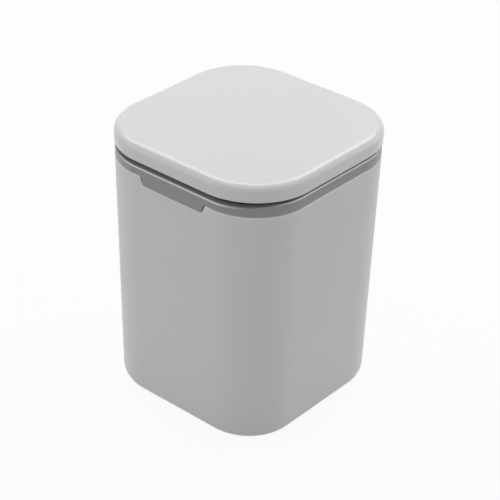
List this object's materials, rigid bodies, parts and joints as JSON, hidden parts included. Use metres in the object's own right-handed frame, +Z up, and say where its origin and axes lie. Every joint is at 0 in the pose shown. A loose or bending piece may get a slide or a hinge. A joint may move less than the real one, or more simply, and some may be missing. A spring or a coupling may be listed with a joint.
{
  "type": "push top countertop bin",
  "caption": "Small square countertop bin with rounded corners, a lift-out rim collar and a sprung push-to-open lid on a rear hinge.",
  "frame": {"origin": "middle of the base, on the surface that the bin stands on", "axes": "+Z up, -Y towards the front with the finger tab and the latch, +Y towards the hinge"},
  "size_m": [0.135, 0.135, 0.177],
  "materials": {
    "body_satin": "satin, pale grey",
    "lid_gloss": "gloss, pale grey",
    "collar_grey": "fine matt, mid grey",
    "inner_grey": "as moulded, light grey",
    "acetal": "natural, waxy",
    "steel": "plated, semi-bright"
  },
  "bodies": {
    "bin": {"bin_body": "body_satin"},
    "collar": {"rim_collar": "collar_grey", "latch_housing": "inner_grey", "latch_cover": "inner_grey", "latch_screws": "steel", "latch_spring": "steel", "cam_follower": "steel"},
    "pin": {"hinge_pin": "steel", "pin_clip": "steel", "torsion_spring_left": "steel", "torsion_spring_right": "steel"},
    "lid": {"lid_cover": "lid_gloss", "lid_panel": "inner_grey", "panel_screws": "steel", "striker": "acetal", "striker_screws": "steel"},
    "plunger": {"latch_plunger": "acetal", "claw_pins": "steel"},
    "claw_left": {"claw_left": "acetal"},
    "claw_right": {"claw_right": "acetal"}
  },
  "joints": [
    {"name": "collar_lift", "type": "slide", "parent": "bin", "child": "collar", "axis": [0, 0, 1], "range_m": [0, 0.04]},
    {"name": "lid_press", "type": "hinge", "parent": "collar", "child": "pin", "pos_m": [0, 0.064, 0.1715], "axis": [-1, 0, 0], "range_deg": [-0.9, 2.6], "stiffness_Nm_per_rad": 4.2, "springref_deg": 0.46},
    {"name": "lid_open", "type": "hinge", "parent": "pin", "child": "lid", "pos_m": [0, 0.064, 0.1715], "axis": [-1, 0, 0], "range_deg": [0, 80], "deforming": ["torsion_spring_left", "torsion_spring_right"]},
    {"name": "plunger_slide", "type": "slide", "parent": "collar", "child": "plunger", "axis": [0, 0, 1], "range_m": [-0.002, 0.006], "deforming": ["latch_spring", "cam_follower"]},
    {"name": "claw_right_swing", "type": "hinge", "parent": "plunger", "child": "claw_right", "pos_m": [0.0056, -0.0535, 0.15], "axis": [0, 1, 0], "range_deg": [-6, 15]},
    {"name": "claw_left_swing", "type": "hinge", "parent": "plunger", "child": "claw_left", "pos_m": [-0.0056, -0.0535, 0.15], "axis": [0, -1, 0], "range_deg": [-6, 15]}
  ],
  "couplings": [
    {"joint": "plunger_slide", "follows": "lid_press", "m_per_rad": 0.1175},
    {"joint": "claw_right_swing", "follows": "lid_press", "ratio": 5.4},
    {"joint": "claw_left_swing", "follows": "lid_press", "ratio": 5.4}
  ]
}
